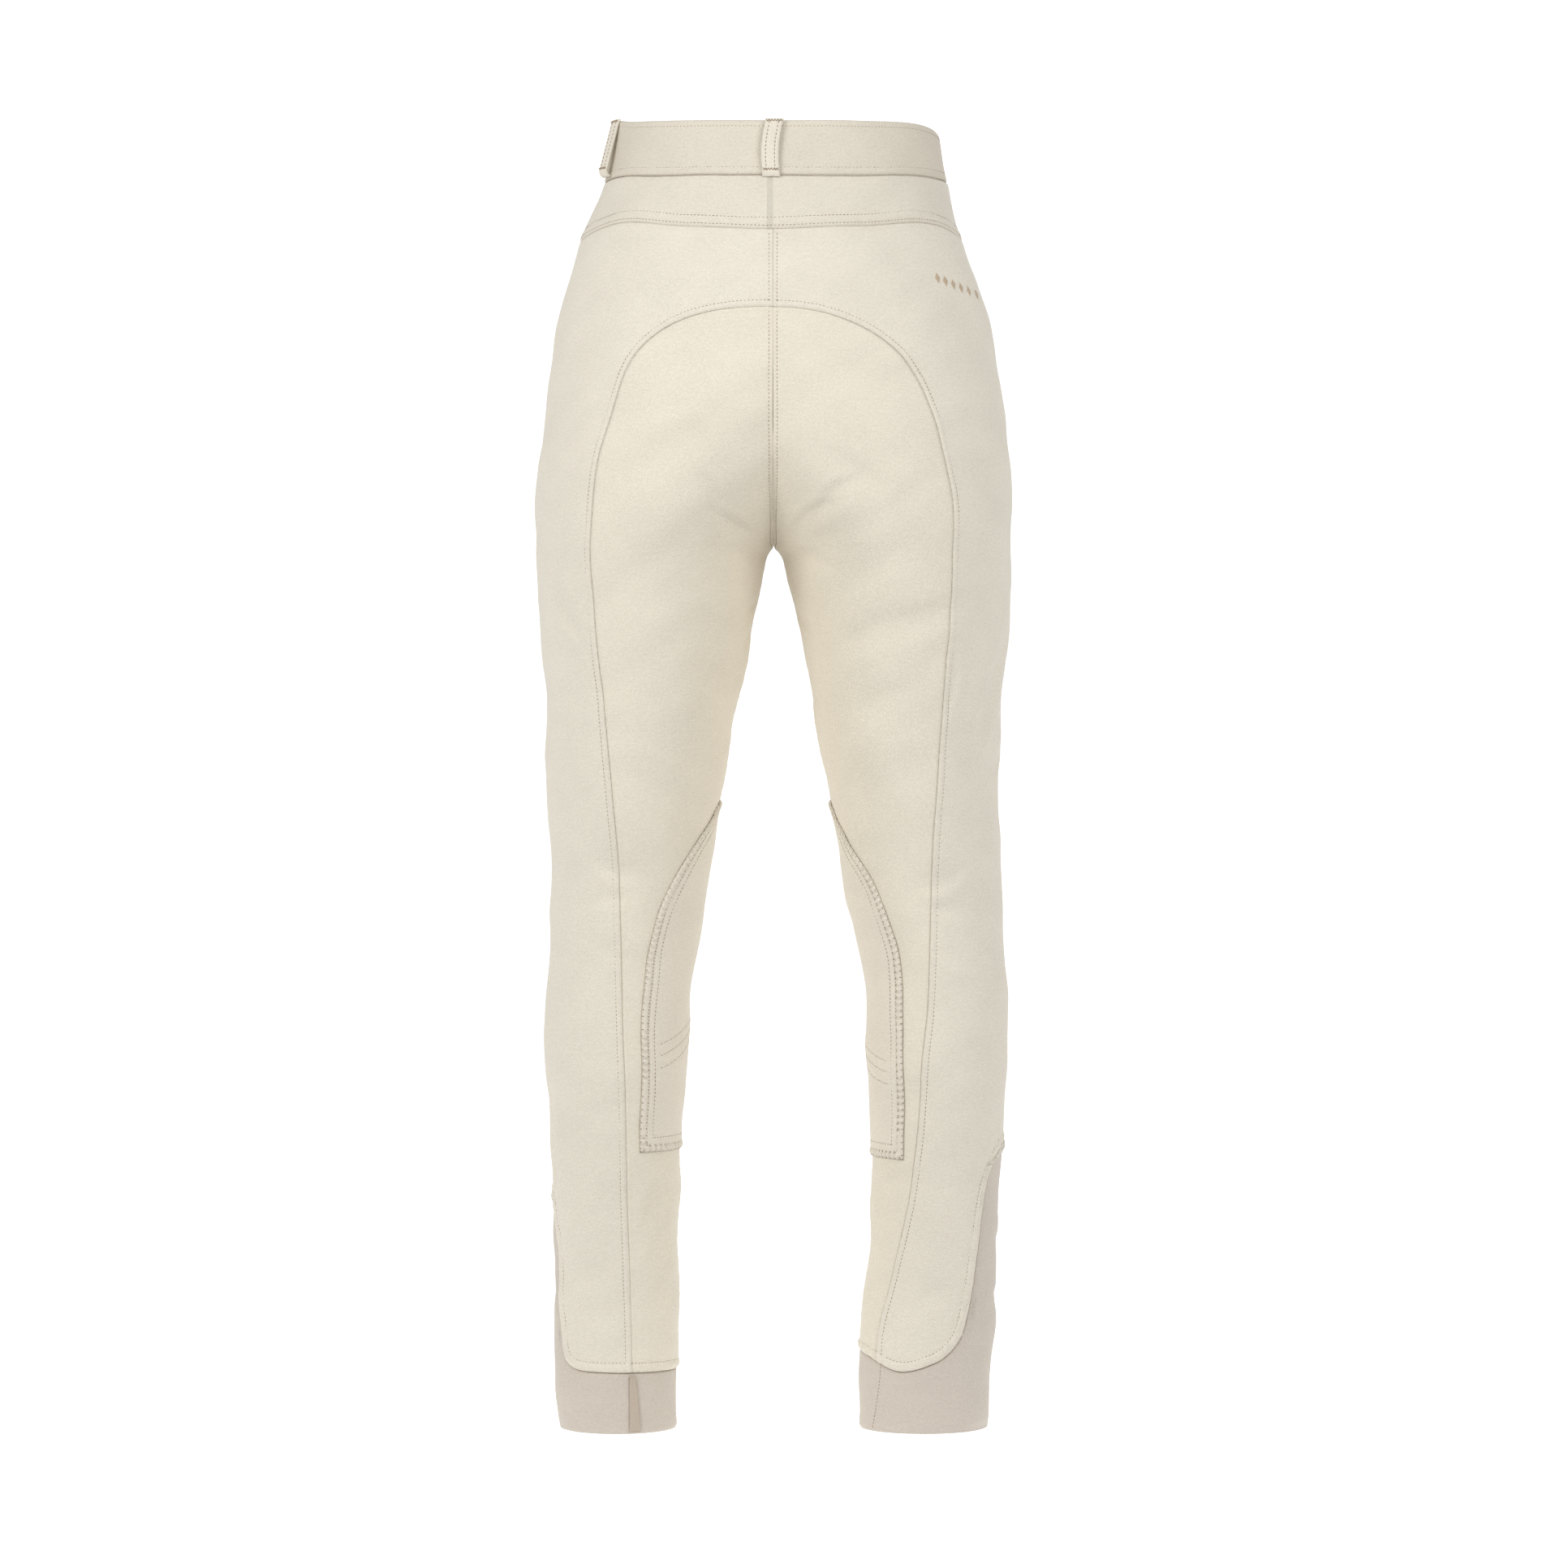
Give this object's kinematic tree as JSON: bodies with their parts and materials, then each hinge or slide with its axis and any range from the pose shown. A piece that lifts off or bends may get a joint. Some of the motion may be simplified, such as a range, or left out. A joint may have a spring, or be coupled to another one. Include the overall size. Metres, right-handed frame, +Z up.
{
  "type": "riding breeches",
  "caption": "Full-seat riding breeches with back yoke, belt loops, knee patches and knitted sock cuffs, standing open as if worn.",
  "frame": {"origin": "middle of the waist ring, half way up the waistband, where the wearer's waist holds the garment", "axes": "+Z up; the wearer's back faces -Y; the wearer's right is +X"},
  "size_m": [0.3516, 0.2384, 0.9605],
  "materials": {
    "waistband": "folded stretch twill, topstitched",
    "back_yoke": "stretch twill",
    "hip_left": "stretch twill",
    "hip_right": "stretch twill",
    "seat_left": "brushed grip cloth",
    "seat_right": "brushed grip cloth",
    "front_left": "stretch twill",
    "front_right": "stretch twill",
    "knee_patch_left": "brushed grip cloth",
    "knee_patch_right": "brushed grip cloth",
    "cuff_left": "stretch knit",
    "cuff_right": "stretch knit",
    "cuff_tape_left": "herringbone tape",
    "belt_loop_back": "stretch twill",
    "belt_loop_left": "stretch twill",
    "belt_loop_right": "stretch twill",
    "belt_loop_front_left": "stretch twill",
    "belt_loop_front_right": "stretch twill",
    "fly_flap": "stretch twill",
    "waist_button": "matt"
  },
  "bodies": {
    "root": {"waistband": "waistband", "back_yoke": "back_yoke", "hip_left": "hip_left", "hip_right": "hip_right", "seat_left": "seat_left", "seat_right": "seat_right", "front_left": "front_left", "front_right": "front_right", "knee_patch_left": "knee_patch_left", "knee_patch_right": "knee_patch_right", "cuff_left": "cuff_left", "cuff_right": "cuff_right", "cuff_tape_left": "cuff_tape_left", "belt_loop_back": "belt_loop_back", "belt_loop_left": "belt_loop_left", "belt_loop_right": "belt_loop_right", "belt_loop_front_left": "belt_loop_front_left", "belt_loop_front_right": "belt_loop_front_right", "fly_flap": "fly_flap", "waist_button": "waist_button"}
  },
  "joints": []
}
